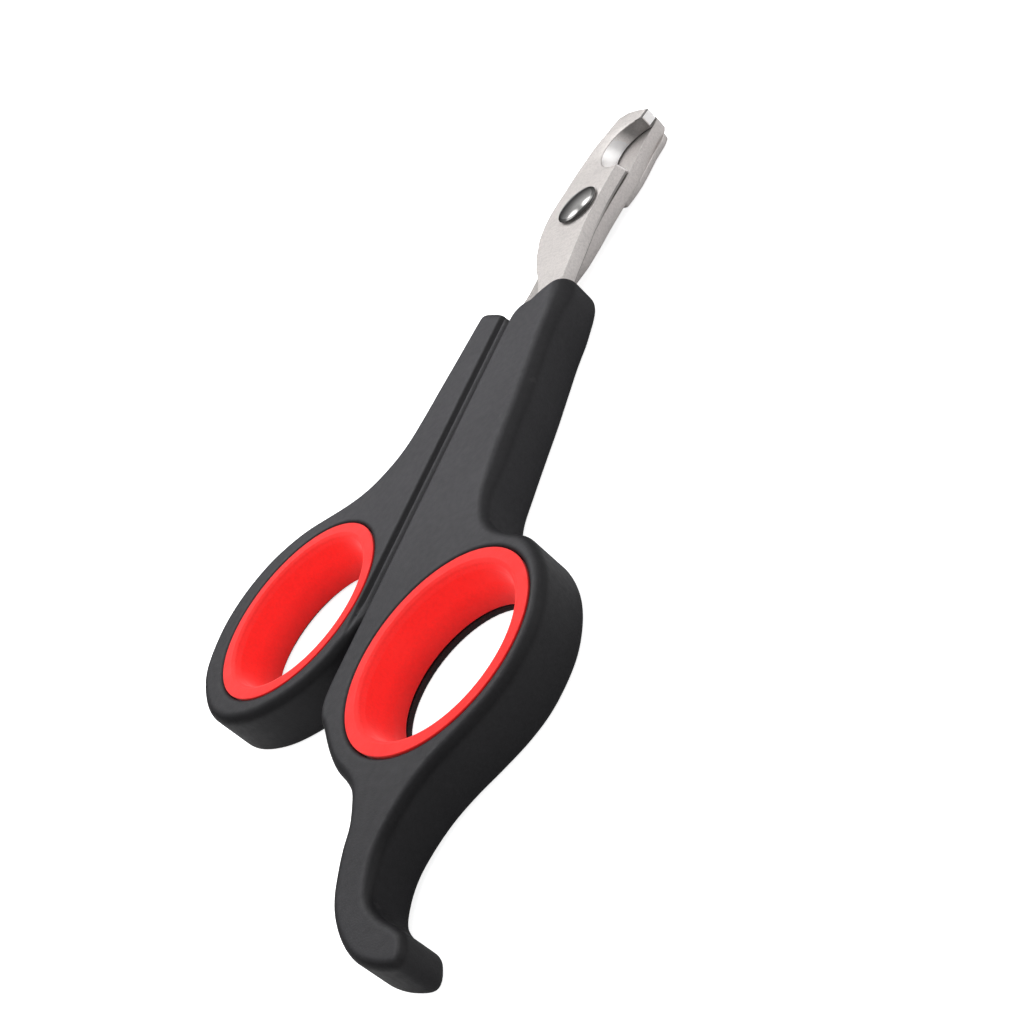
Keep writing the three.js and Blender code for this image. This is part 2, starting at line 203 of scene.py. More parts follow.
def outward_normals(loop):
    """Mitred outward normals of a counter-clockwise closed loop."""
    side = np.roll(loop, -1, 0) - loop
    side /= np.linalg.norm(side, axis=1)[:, None] + 1e-12
    normal = np.stack([side[:, 1], -side[:, 0]], 1)
    mitre = normal + np.roll(normal, 1, 0)
    mitre /= np.linalg.norm(mitre, axis=1)[:, None] + 1e-12
    return mitre / np.clip(np.sum(mitre * normal, 1), .5, 1)[:, None]


# ------------------------------------------------------------------ solids from distance fields
class OutlineField:
    """Signed distance to a counter-clockwise outline, negative inside, read cubically."""

    MARGIN = 1.8

    def __init__(self, loop, cell=.25):
        count = len(loop)
        normals = outward_normals(loop)
        tree = kdtree.KDTree(count)
        for i, (x, y) in enumerate(loop):
            tree.insert((x, y, 0), i)
        tree.balance()
        self.cell = cell
        self.low = loop.min(0) - self.MARGIN
        self.size = np.ceil((loop.max(0) + self.MARGIN - self.low) / cell).astype(int) + 1
        axes = [self.low[k] + cell * np.arange(self.size[k]) for k in (0, 1)]
        points = np.stack(np.meshgrid(*axes, indexing="ij"), -1).reshape(-1, 2)
        near = np.fromiter((tree.find((x, y, 0))[1] for x, y in points.tolist()),
                           int, len(points))
        distance = np.full(len(points), 1e9)
        for k in (near, near - 1):
            start = loop[k % count]
            edge = loop[(k + 1) % count] - start
            t = np.clip(np.sum((points - start) * edge, 1) / (np.sum(edge * edge, 1) + 1e-12), 0, 1)
            distance = np.minimum(
                distance, np.linalg.norm(points - start - t[:, None] * edge, axis=1))
        sign = np.where(np.sum((points - loop[near]) * normals[near], 1) < 0, -1, 1)
        self.grid = (distance * sign).reshape(self.size)

    @staticmethod
    def weights(t):
        return (-.5 * t + t * t - .5 * t ** 3, 1 - 2.5 * t * t + 1.5 * t ** 3,
                .5 * t + 2 * t * t - 1.5 * t ** 3, -.5 * t * t + .5 * t ** 3)

    def __call__(self, x, y):
        u, v = (x - self.low[0]) / self.cell, (y - self.low[1]) / self.cell
        i = np.clip(np.floor(u).astype(int), 1, self.size[0] - 3)
        j = np.clip(np.floor(v).astype(int), 1, self.size[1] - 3)
        x_weights = self.weights(np.clip(u - i, -1, 2))
        y_weights = self.weights(np.clip(v - j, -1, 2))
        total = 0.0
        for a in range(4):
            row = 0.0
            for b in range(4):
                row = row + y_weights[b] * self.grid[i + a - 1, j + b - 1]
            total = total + x_weights[a] * row
        return total


def round_meet(a, b, radius):
    """Intersection of two solids with its outer edge rounded."""
    u, v = np.maximum(radius + a, 0), np.maximum(radius + b, 0)
    return np.minimum(-radius, np.maximum(a, b)) + np.sqrt(u * u + v * v)


def rise(value, start, span):
    """Smooth step from 0 at start to 1 at start + span."""
    t = np.clip((value - start) / span, 0, 1)
    return t * t * (3 - 2 * t)


def surface_net(solid, low, high, cell):
    """Quads on the zero surface of a solid's field inside a box."""
    n = np.ceil((high - low) / cell).astype(int) + 1
    axes = [low[k] + cell * np.arange(n[k]) for k in range(3)]
    x, y, z = np.meshgrid(*axes, indexing="ij")
    values = solid(x.ravel(), y.ravel(), z.ravel()).reshape(n)
    inside = values < 0
    corners = [np.array([i, j, k]) for i in (0, 1) for j in (0, 1) for k in (0, 1)]
    filled = sum(inside[i:n[0] - 1 + i, j:n[1] - 1 + j, k:n[2] - 1 + k].astype(np.uint8)
                 for i, j, k in corners)
    active = (filled > 0) & (filled < 8)
    ids = -np.ones(active.shape, int)
    ids[active] = np.arange(active.sum())

    # one vertex per crossed cell, at the mean of its edge crossings
    cells = np.argwhere(active)
    total, hits = np.zeros((len(cells), 3)), np.zeros(len(cells))
    for a in corners:
        for b in corners:
            if (b - a).sum() == 1 and (b - a).min() >= 0:
                start, end = values[tuple((cells + a).T)], values[tuple((cells + b).T)]
                cut = (start < 0) != (end < 0)
                t = start[cut] / (start[cut] - end[cut])
                total[cut] += a + t[:, None] * (b - a)
                hits[cut] += 1
    verts = low + cell * (cells + total / hits[:, None])

    # one quad round every crossed grid edge
    quads = []
    for a in range(3):
        b, c = (a + 1) % 3, (a + 2) % 3
        before = np.take(inside, range(0, n[a] - 1), a)
        after = np.take(inside, range(1, n[a]), a)
        at = np.argwhere(before != after)
        at = at[(at[:, b] > 0) & (at[:, c] > 0) & (at[:, b] < n[b] - 1) & (at[:, c] < n[c] - 1)]
        step_b, step_c = np.eye(3, dtype=int)[b], np.eye(3, dtype=int)[c]
        quad = np.stack([ids[tuple((at - shift).T)]
                         for shift in (0 * step_b, step_b, step_b + step_c, step_c)], 1)
        leaving = before[tuple(at.T)]
        quad[~leaving] = quad[~leaving][:, ::-1]
        quads.append(quad)
    return verts, np.vstack(quads)


def project(solid, verts, rounds, cap=.12, reach=.01):
    """Moves vertices onto the zero surface, at most `cap` per round."""
    for _ in range(rounds):
        value = solid(*verts.T)
        slope = np.stack([(solid(*(verts + d).T) - solid(*(verts - d).T)) / (2 * reach)
                          for d in np.eye(3) * reach], 1)
        move = -(value / (np.sum(slope * slope, 1) + 1e-6))[:, None] * slope
        size = np.linalg.norm(move, axis=1)
        verts = verts + move * np.minimum(1, cap / (size + 1e-9))[:, None]
    return verts


def relax(verts, quads, share=.5):
    """Moves vertices part of the way to the mean of their neighbours."""
    edges = np.vstack([quads[:, [k, (k + 1) % 4]] for k in range(4)])
    total, hits = np.zeros_like(verts), np.zeros(len(verts))
    for a, b in ((0, 1), (1, 0)):
        for k in range(3):
            total[:, k] += np.bincount(edges[:, a], verts[edges[:, b], k], len(verts))
        hits += np.bincount(edges[:, a], minlength=len(verts))
    return verts + share * (total / hits[:, None] - verts)


def mesh_solid(solid, low, high, cell):
    verts, quads = surface_net(solid, np.array(low, float), np.array(high, float), cell)
    verts = project(solid, verts, 3)
    for _ in range(3):
        verts = project(solid, relax(verts, quads), 1)
    return project(solid, verts, 1), quads


# ------------------------------------------------------------------ meshes
def link_object(name, data):
    obj = bpy.data.objects.new(name, data)
    bpy.context.scene.collection.objects.link(obj)
    return obj


def make(name, verts, faces, sharp_angle):
    """Smooth-shaded object; edges bent by more than sharp_angle degrees stay sharp."""
    mesh = bpy.data.meshes.new(name)
    verts = (np.array(verts) + PIVOT) / MM
    mesh.from_pydata(verts.tolist(), [], [list(map(int, f)) for f in faces])
    mesh.validate()
    bm = bmesh.new()
    bm.from_mesh(mesh)
    bmesh.ops.recalc_face_normals(bm, faces=bm.faces)
    bm.to_mesh(mesh)
    bm.free()
    mesh.shade_smooth()
    mesh.set_sharp_from_angle(angle=math.radians(sharp_angle))
    return link_object(name, mesh)


def settle_normals(obj):
    modifier = obj.modifiers.new("weighted_normals", "WEIGHTED_NORMAL")
    modifier.mode = "FACE_AREA"
    modifier.weight = 60
    modifier.keep_sharp = True


def set_tone_and_painted_shading(obj, shade):
    """Stores shade(face centre, face normal, corner), in mm about the pivot, per face corner, as a
    factor for the colour: painted light and shade on the blades and the nut's rim, a plain tone on the
    screw and washer.
    """
    mesh = obj.data
    layer = mesh.attributes.new("tone_and_painted_shading", "FLOAT", "CORNER")
    places = np.array([v.co for v in mesh.vertices]) * MM - PIVOT
    for poly in mesh.polygons:
        centre = places[list(poly.vertices)].mean(0)
        for k, v in zip(poly.loop_indices, poly.vertices):
            layer.data[k].value = shade(centre, poly.normal, places[v])


def filleted(points, segments):
    """Closed profile whose corners (x, y, radius) become arcs."""
    out = []
    for i, (x, y, radius) in enumerate(points):
        corner = np.array((x, y), float)
        a = np.array(points[i - 1][:2], float) - corner
        b = np.array(points[(i + 1) % len(points)][:2], float) - corner
        length_a, length_b = np.linalg.norm(a), np.linalg.norm(b)
        a, b = a / length_a, b / length_b
        half = math.acos(max(-1, min(1, float(a @ b)))) / 2
        setback = min(radius / math.tan(half), .48 * length_a, .48 * length_b)
        radius = setback * math.tan(half)
        bisector = (a + b) / np.linalg.norm(a + b)
        centre = corner + bisector * (radius / math.sin(half))
        start, end = corner + a * setback - centre, corner + b * setback - centre
        angle = math.atan2(start[1], start[0])
        turn = (math.atan2(end[1], end[0]) - angle + math.pi) % (2 * math.pi) - math.pi
        for k in range(segments + 1):
            t = angle + turn * k / segments
            out.append(centre + radius * np.array([math.cos(t), math.sin(t)]))
    return np.array(out)


def lathe(profile, centre, sides):
    """Closed ring about Z, or a plug whose open (radius, z) profile starts and ends on the axis."""
    plug = abs(profile[0][0]) < 1e-6
    verts, faces, rows = [], [], []
    for radius, z in profile:
        if abs(radius) < 1e-6:
            rows.append([len(verts)] * sides)
            verts.append((centre[0], centre[1], z))
        else:
            rows.append(list(range(len(verts), len(verts) + sides)))
            for k in range(sides):
                t = 2 * math.pi * k / sides
                verts.append((centre[0] + radius * math.cos(t),
                              centre[1] + radius * math.sin(t), z))
    for i in range(len(rows) - 1 if plug else len(rows)):
        a, b = rows[i], rows[(i + 1) % len(rows)]
        for k in range(sides):
            j = (k + 1) % sides
            # quads touching the axis lose their repeated vertex
            face = list(dict.fromkeys((a[k], a[j], b[j], b[k])))
            if len(face) > 2:
                faces.append(face)
    return np.array(verts), faces


# ------------------------------------------------------------------ handles
HANDLE_CELL = .26
HANDLE_STEP = .15  # spacing of the outline points
TANG_STEP = .2


def finger_section(x, y, z):
    """Half thickness and edge radius of the finger handle."""
    # the top and bottom close in by 2.2 degrees each past y = -81
    past = -81.0 - y
    half = HALF_THICK - math.tan(math.radians(2.2)) * .5 * (past + np.sqrt(past * past + 6.0))
    # tightest along the straight edge at x = -.85
    away = rise(x, .2, 3.0) + rise(-y, 74.0, 6)
    radius = .45 + .75 * np.minimum(away, 1)
    # fuller on the upper +X edge of the arm
    radius = radius + .65 * rise(y, -52, 9) * rise(x, 2.5, 3) * rise(z, 0, 1.2)
    # fullest at the blade end, slightly tighter at the tip of the finger rest
    end = rise(y, -22.5, 5.5) * rise(x, -.6, 2.5)
    radius = radius + (2.2 + .35 * np.tanh(z) - radius) * end - .4 * rise(-y, 93.0, 5)
    return half, radius


def thumb_section(x, y, z):
    """Half thickness and edge radius of the thumb handle."""
    away = rise(-x, 2.2, 3.0) + rise(-y, 63.0, 6)
    radius = .4 + .8 * np.minimum(away, 1)
    # a fine groove runs along the arm, and the strip on its +X side sinks away from it
    from_groove = x + 2.75
    fade = rise(y, -68, 8)
    groove = .3 * np.exp(-(from_groove / .26) ** 2) * fade
    shoulder = (.36 * rise(from_groove, -.4, .8)
                + .72 * np.clip((from_groove - .3) / 1.3, 0, 1)) * fade
    return HALF_THICK - groove - shoulder, radius


def handle(name, curve, section, ring, ledge_r, blade, tang_z, straight=np.empty((0, 2))):
    """Moulded handle with a liner seat, a ledge under it and a slot for the blade's tang."""
    loop = np.vstack([catmull(curve, 24), straight])
    loop = counter_clockwise(resample(loop, step=HANDLE_STEP))
    loop = soften(loop, HANDLE_STEP, .35)
    outline = OutlineField(loop)
    tang = np.array([p for p in blade if p[1] < TANG_TOP], float)
    tang = resample(counter_clockwise(tang), step=TANG_STEP)
    tang_outline = OutlineField(soften(tang, TANG_STEP, .2), cell=.3)

    def solid(x, y, z):
        half, radius = section(x, y, z)
        body = round_meet(outline(x, y), np.abs(z) - half, radius)
        rho = np.hypot(x - ring[0], y - ring[1])
        seat = np.maximum(rho - BORE_R, LEDGE_Z - z)
        opening = np.minimum(seat, rho - ledge_r)
        body = round_meet(body, -opening, np.where(z > 0, .42, .5))
        slot = np.maximum(tang_outline(x, y) - TANG_CLEARANCE, np.abs(z - tang_z) - TANG_HALF)
        return np.maximum(body, -slot)

    pad = 2.2 * HANDLE_CELL
    low = (*(loop.min(0) - pad), -HALF_THICK - pad)
    high = (*(loop.max(0) + pad), HALF_THICK + pad)
    verts, quads = mesh_solid(solid, low, high, HANDLE_CELL)
    verts[:, 2] = np.clip(verts[:, 2], -HALF_THICK, HALF_THICK)
    return make(name, verts, quads, 42)


finger = handle("finger_handle_moulding", FINGER_OUTLINE, finger_section,
                FINGER_RING, ledge_r=9.0, blade=FRONT_BLADE, tang_z=TANG_Z)
thumb = handle("thumb_handle_moulding", THUMB_OUTLINE, thumb_section,
               THUMB_RING, ledge_r=9.5, blade=REAR_BLADE, tang_z=-TANG_Z, straight=THUMB_TOP)


# ------------------------------------------------------------------ liners
def liner(name, ring, sleeve):
    """Elastomer ring in a handle's loop; a sleeve adds a short collar below it."""
    low, high = LINER_LOW, HALF_THICK - .02
    collar = [(9.0, low - .55, .2), (9.38, low - .55, .12), (9.42, low, .05)]
    profile = (collar if sleeve else [(9.05, low, .2)]) + [  # radius, z, corner radius
        (LINER_R - .06, low, .3), (LINER_R - .03, high - .5, .1),
        (LINER_R + .04, high - .16, .08), (LINER_R + .03, high, .12), (10.7, high, .35),
        (10.28, high - .2, .45), (9.95, high - .85, .8), (9.65, .8, 2.5), (9.28, -.6, 2.5),
    ]
    return make(name, *lathe(filleted(profile, 9), ring, 192), 60)


finger_liner = liner("finger_liner_ring", FINGER_RING, sleeve=False)
thumb_liner = liner("thumb_liner_ring", THUMB_RING, sleeve=True)


# ------------------------------------------------------------------ blades
def notch_at(notch, side, z):
    """Centre and radius of a notch at height z; side is +1 for the upper blade, -1 for the lower."""
    out = max(0.0, abs(z) - BLADE_GAP)
    centre = (notch[0] - side * NOTCH_LEAN[0] * out / BLADE_THICK,
              notch[1] + NOTCH_LEAN[1] * out / BLADE_THICK)
    return centre, NOTCH_R + NOTCH_FLARE * out / BLADE_THICK


def notched(loop, centre, radius, outer=460, inner=90):
    """The loop with a round bite taken out of it: first the arc, then the rest."""
    centre = np.array(centre, float)
    depth = np.linalg.norm(loop - centre, axis=1) - radius
    inside = depth < 0
    n = len(loop)
    start = next(i for i in range(n) if inside[i] and not inside[i - 1])
    end = start
    while inside[(end + 1) % n]:
        end = (end + 1) % n

    def cross(i, j):
        t = depth[i] / (depth[i] - depth[j])
        return loop[i] + t * (loop[j] - loop[i])

    first, last = cross((start - 1) % n, start), cross(end, (end + 1) % n)
    first_angle, last_angle = [math.atan2(*(p - centre)[::-1]) for p in (first, last)]
    # the bite turns the other way round from the outline
    turn = (first_angle - last_angle) % (2 * math.pi)
    angles = [first_angle - turn * k / inner for k in range(inner + 1)]
    arc = np.array([centre + radius * np.array([math.cos(t), math.sin(t)]) for t in angles])
    rest = [last]
    i = (end + 1) % n
    while i != start:
        rest.append(loop[i])
        i = (i + 1) % n
    rest.append(first)
    rest = resample(np.array(rest), count=outer, closed=False)
    return np.vstack([arc, rest[1:-1]])


def plate(levels, hole=False, sides=72):
    """Closed plate from stacked (z, loop, hole radius) levels, with flat ends."""
    verts, faces, rows, holes = [], [], [], []
    for z, loop, radius in levels:
        rows.append(range(len(verts), len(verts) + len(loop)))
        verts += [(x, y, z) for x, y in loop]
        if hole:
            holes.append(range(len(verts), len(verts) + sides))
            angles = [2 * math.pi * k / sides for k in range(sides)]
            verts += [(radius * math.cos(t), radius * math.sin(t), z) for t in angles]
    n = len(rows[0])
    for a, b in zip(rows[:-1], rows[1:]):
        faces += [(a[k], a[(k + 1) % n], b[(k + 1) % n], b[k]) for k in range(n)]
    for a, b in zip(holes[:-1], holes[1:]):
        faces += [(a[(k + 1) % sides], a[k], b[k], b[(k + 1) % sides]) for k in range(sides)]
    for level, bottom in ((0, True), (-1, False)):
        rims = [list(rows[level])]
        if hole:
            rims.append(list(holes[level])[::-1])
        order = sum(rims, [])
        for triangle in geometry.tessellate_polygon([[Vector(verts[i]) for i in rim]
                                                     for rim in rims]):
            face = [order[i] for i in triangle]
            a, b, c = (np.array(verts[i]) for i in face)
            upward = np.cross(b - a, c - a)[2] > 0
            faces.append(tuple(face[::-1] if upward == bottom else face))
    return np.array(verts), faces


def blade_levels(points, low_z, high_z, notch, side, hole_r=None, edge=.1):
    """Plate levels of a notched blade with rounded rims; hole_r(z) gives the hole's radius."""
    step = .1
    base = soften(resample(counter_clockwise(np.array(points, float)), step=step), step, .12)
    quarter = np.linspace(0, math.pi / 2, 4)
    profile = [(low_z + edge * (1 - math.cos(t)), edge * (1 - math.sin(t))) for t in quarter]
    profile += [(low_z + edge + .28, 0.0)]
    profile += [(high_z - edge * (1 - math.cos(t)), edge * (1 - math.sin(t)))
                for t in quarter[::-1]]
    levels = []
    for z, cut in profile:
        loop = notched(base, *notch_at(notch, side, z))
        x, y = loop[:, 0], loop[:, 1]
        if side > 0:
            # the upper blade's rim is cut wider at its +X corner, between notch and tip
            cuts = cut * (1 + 3.2 * rise(y, 13.6, .7) * rise(-y, -16.1, .4) * rise(x, 4.0, .5))
        else:
            cuts = np.full(len(loop), cut)
        loop = loop - outward_normals(loop) * cuts[:, None]
        levels.append((z, loop, hole_r(z) + cut if hole_r else 0))
    return levels


def straight_hole(z):
    return HOLE_R


def sunk_hole(z):
    return HOLE_R + max(0.0, SINK_Z - z) * SINK_SLOPE


def notch_turn(corner):
    """Quarter turns from the middle of the front notch's wall towards the tip; None off the wall."""
    centre, radius = notch_at(FRONT_NOTCH, 1, corner[2])
    if abs(math.hypot(corner[0] - centre[0], corner[1] - centre[1]) - radius) > .13:
        return None
    return math.atan2(corner[1] - centre[1], centre[0] - corner[0]) / (math.pi / 2)


# Painted light and shade on the front blade, a colour factor per face corner: below 1 is painted
# shade, above 1 painted highlight.
def front_painted_shading(centre, normal, corner):
    x, y, z = centre
    if z > 1.999 or z < .051:  # flat faces
        return 1.0
    if z < .15:  # lower rim, painted shade
        return .28
    if z > 1.9:  # upper rim, painted shade, darkest at the +X corner of the tip
        return .2 if y > 13.2 and x > 3.4 else .8
    turn = notch_turn(corner)
    if turn is not None and x > -1:  # notch wall, painted light and shade: bright, darker towards the tip
        return 1.6 - 1.2 * float(rise(turn, .3, .4))
    if y > 14 and normal[0] > .5:  # +X side of the tip: painted highlight above z = .43, painted shade below
        return 1.7 if z > .43 else .25
    if z < .43 and normal[0] > .5 and -7 < corner[1] < 7:  # foot of the +X side by the pivot, a band of painted shade
        return 1 - .58 * float(rise(corner[1], -6, 9))
    return 1.0


# Painted shade on the rear blade's mating face and its rim, a colour factor per face corner.
def rear_painted_shading(centre, normal, corner):
    if normal[2] > .97:  # mating face, painted shade
        return .76
    if normal[2] > .25 and centre[2] > -.5:  # its rim, painted shade
        return .80
    return 1.0


blade_low, blade_high = mm_box("front_blade")
levels = blade_levels(FRONT_BLADE, blade_low[2], blade_high[2], FRONT_NOTCH, 1, straight_hole)
front = make("front_blade_ground", *plate(levels, hole=True), 35)

blade_low, blade_high = mm_box("rear_blade")
levels = blade_levels(REAR_BLADE, REAR_FACE_Z, blade_high[2], REAR_NOTCH, -1, sunk_hole)
verts, faces = plate(levels, hole=True)
levels = blade_levels(REAR_JAW, blade_low[2], JAW_TOP_Z, REAR_NOTCH, -1, edge=.12)
jaw_verts, jaw_faces = plate(levels)
jaw_faces = [tuple(i + len(verts) for i in face) for face in jaw_faces]
FIRST_JAW_FACE = len(faces)
rear = make("rear_blade_ground", np.vstack([verts, jaw_verts]), faces + jaw_faces, 35)

# painted light and shade per face corner on both blades
for blade, shade in ((front, front_painted_shading), (rear, rear_painted_shading)):
    settle_normals(blade)
    set_tone_and_painted_shading(blade, shade)


# ------------------------------------------------------------------ pivot hardware
def dome_nut():
    """Domed nut on the front blade, with a short sleeve into the pivot hole."""
    low, high = mm_box("pivot_dome_nut")
    radius, base, top = float((high - low)[0] / 2), 2.3, float(high[2])
    foot, dome_share = float(low[2]), .86
    profile = [(0, top)]
    profile += [(radius * t, top - .36 * (t / dome_share) ** 2)
                for t in np.linspace(.05, dome_share, 20)]
    # rim: share of the radius, drop from the top
    profile += [(radius * share, top - drop) for share, drop in
                ((.90, .40), (.94, .44), (.97, .475), (.99, .50), (1, .525))]
    profile += [(radius, base + .04), (radius - .06, base), (1.6, base),
                (1.6, foot), (1.1, foot), (1.1, 1.2), (0, 1.2)]
    obj = make("pivot_nut_polished", *lathe(profile, (0, 0), 128), 30)
    # painted shade on the nut's rim; the dome keeps its full colour
    set_tone_and_painted_shading(obj, lambda centre, normal, corner:
             1.0 if math.hypot(*centre[:2]) < .87 * radius else .35)
    return obj


def slotted_screw():
    """Countersunk screw, head down, with a straight slot across its head."""
    bottom = float(mm_box("pivot_screw")[0][2])
    head_r, stem_r, slot_half, slot_depth = 2.45, .85, .35, .5

    def solid(x, y, z):
        rho = np.hypot(x, y)
        cone = np.maximum((rho - head_r + (z - bottom - .1) * .84) * .766, z + 1.2)
        head = np.maximum(round_meet(rho - head_r, bottom - z, .1), cone)
        stem = np.maximum(rho - stem_r, np.maximum(z - .9, -1.4 - z))
        slot = np.maximum(np.abs(y) - slot_half, z - (bottom + slot_depth))
        return round_meet(np.minimum(head, stem), -slot, .05)

    cell = .08
    verts, quads = mesh_solid(solid, (-2.8, -2.8, bottom - .3), (2.8, 2.8, 1.2), cell)
    obj = make("pivot_screw_turned", verts, quads, 35)
    set_tone_and_painted_shading(obj, lambda centre, normal, corner: 1.8)
    return obj


def tension_washer():
    low, high = mm_box("tension_washer")
    radius, bore = float((high - low)[0] / 2), 1.75
    bottom, top = float(low[2]), float(high[2])
    profile = filleted([(bore, bottom, .04), (radius, bottom, .06),
                        (radius, top, .06), (bore, top, .04)], 3)
    obj = make("tension_washer_ring", *lathe(profile, (0, 0), 96), 60)
    set_tone_and_painted_shading(obj, lambda centre, normal, corner: .8)
    return obj


nut = dome_nut()
screw = slotted_screw()
washer = tension_washer()


# ------------------------------------------------------------------ shader node helpers
class NodeTree:
    """Builds shader nodes. An input takes a plain value or another node's output socket."""

    def __init__(self, owner):
        owner.use_nodes = True
        self.tree = owner.node_tree
        self.tree.nodes.clear()

    def feed(self, socket, value):
        if hasattr(value, "links"):
            self.tree.links.new(value, socket)
        else:
            socket.default_value = value

    def fill(self, node, **inputs):
        for name, value in inputs.items():
            self.feed(node.inputs[name.replace("_", " ")], value)

    def add(self, kind, **inputs):
        node = self.tree.nodes.new(kind)
        self.fill(node, **inputs)
        return node

    def series(self, kind, *values, output=0, **settings):
        """Output of a new node whose inputs are fed in order."""
        node = self.tree.nodes.new(kind)
        for name, value in settings.items():
            setattr(node, name, value)
        for socket, value in zip(node.inputs, values):
            self.feed(socket, value)
        return node.outputs[output]

    def math(self, operation, *values):
        return self.series("ShaderNodeMath", *values, operation=operation)

    def axis(self, vector, name):
        return self.add("ShaderNodeSeparateXYZ", Vector=vector).outputs[name]

    def ramp(self, source, *stops):
        """Colour ramp; a stop is (position, grey or RGB)."""
        node = self.add("ShaderNodeValToRGB", Fac=source)
        elements = node.color_ramp.elements
        while len(elements) > 1:
            elements.remove(elements[-1])
        for i, (position, colour) in enumerate(stops):
            element = elements[0] if i == 0 else elements.new(position)
            element.position = position
            element.color = (*(colour if isinstance(colour, tuple) else (colour,) * 3), 1)
        return node.outputs[0]

    def mix(self, a, b, factor, mode="MIX"):
        node = self.add("ShaderNodeMix")
        node.data_type, node.blend_type = "RGBA", mode
        for index, value in ((0, factor), (6, a), (7, b)):
            self.feed(node.inputs[index], (*value, 1) if isinstance(value, tuple) else value)
        return node.outputs[2]


class Surface(NodeTree):
    """Principled material with patterns placed in object space."""

    def __init__(self, name):
        self.material = bpy.data.materials.new(name)
        super().__init__(self.material)
        output = self.add("ShaderNodeOutputMaterial")
        self.bsdf = self.add("ShaderNodeBsdfPrincipled")
        self.fill(output, Surface=self.bsdf.outputs[0])
        self.place = self.add("ShaderNodeTexCoord").outputs["Object"]

    def noise(self, scale, detail=4, rough=.55, stretch=(1, 1, 1), turn=(0, 0, 0)):
        mapping = self.add("ShaderNodeMapping", Vector=self.place, Scale=stretch, Rotation=turn)
        return self.add("ShaderNodeTexNoise", Vector=mapping.outputs[0], Scale=scale,
                        Detail=detail, Roughness=rough).outputs["Fac"]

    def multiply(self, base, factor):
        return self.mix(base, factor, 1.0, "MULTIPLY")

    def with_tone_and_painted_shading(self, base):
        """The base colour times the mesh's tone and painted shading attribute."""
        tone_and_painted_shading = self.add("ShaderNodeAttribute")
        tone_and_painted_shading.attribute_name = "tone_and_painted_shading"
        return self.multiply(base, tone_and_painted_shading.outputs["Fac"])

    def bump(self, *layers):
        """Stacked bumps; a layer is (height, strength, distance in metres)."""
        previous = None
        for height, strength, distance in layers:
            node = self.add("ShaderNodeBump", Strength=strength, Distance=distance, Height=height)
            if previous:
                self.fill(node, Normal=previous)
            previous = node.outputs[0]
        self.fill(self.bsdf, Normal=previous)


# ------------------------------------------------------------------ materials
def handle_plastic():
    m = Surface("handle_soft_touch_plastic")
    base = m.ramp(m.noise(scale=90), (.3, (.0175, .017, .0193)), (.72, (.0225, .022, .0246)))
    base = m.multiply(base, m.ramp(m.noise(scale=2600, detail=3, rough=.6), (.3, .84), (.72, 1.14)))
    dust = m.ramp(m.noise(scale=700, detail=5, rough=.7), (.60, 0.0), (.78, .35))
    base = m.mix(base, (.034, .033, .035), dust)
    # painted light and shade: lighter where the surface looks straight up, darker on walls and sloping
    # edges
    lying = m.axis(m.add("ShaderNodeNewGeometry").outputs["Normal"], "Z")
    base = m.multiply(base, m.ramp(lying, (.0, .80), (.3, .58), (.8, .66), (.96, 1.2),
                                   (.995, 1.6), (1.0, 1.68)))
    # painted shade, darker towards the finger rest: 0 at its end, 1 at the blade tips
    span = CAD_BOX[1][1] - CAD_BOX[0][1]
    along = m.math("MULTIPLY_ADD", m.axis(m.place, "Y"), 1 / span, -CAD_BOX[0][1] / span)
    base = m.multiply(base, m.ramp(along, (.0, .62), (.30, .72), (.46, 1.0)))
    # lighter on convex edges
    edge = m.ramp(m.add("ShaderNodeNewGeometry").outputs["Pointiness"], (.512, 0.0), (.56, 1.0))
    base = m.mix(base, (.03, .029, .03), m.mix((0, 0, 0), (.35, .35, .35), edge))
    m.fill(m.bsdf, Base_Color=base, IOR=1.45,
           Roughness=m.ramp(m.noise(scale=1300), (.3, .46), (.7, .56)),
           Specular_IOR_Level=m.ramp(lying, (.0, .32), (.3, .24), (.8, .27), (.96, .34),
                                     (.995, .42), (1.0, .44)))
    m.bump((m.noise(scale=5200, detail=2, rough=.5), .3, .00006),
           (m.noise(scale=2500, detail=3, rough=.5), .12, .00006))
    return m.material


def liner_rubber():
    m = Surface("liner_red_elastomer")
    base = m.ramp(m.noise(scale=140), (.3, (.95, .012, .010)), (.7, (1.0, .020, .016)))
    base = m.multiply(base, m.ramp(m.noise(scale=3000, detail=3, rough=.6), (.3, .93), (.75, 1.06)))
    # painted shade by height, darker low in the ring and at the top of the lip: object Z over the
    # handle's thickness
    height = m.math("MULTIPLY", m.axis(m.place, "Z"), MM / (2 * HALF_THICK))
    base = m.multiply(base, m.ramp(height, (.0, .50), (.36, .84), (.62, 1.04), (.92, 1.02),
                                   (1.0, .80)))
    m.fill(m.bsdf, Base_Color=base, Roughness=m.ramp(m.noise(scale=400, detail=3), (.3, .5), (.7, .6)),
           Specular_IOR_Level=.3, Subsurface_Weight=.15, Subsurface_Scale=.0006,
           Subsurface_Radius=(1.0, .25, .15), Sheen_Weight=.12, Sheen_Roughness=.4)
    m.bump((m.noise(scale=4200, detail=2), .18, .00005), (m.noise(scale=420, detail=3), .14, .00025))
    return m.material


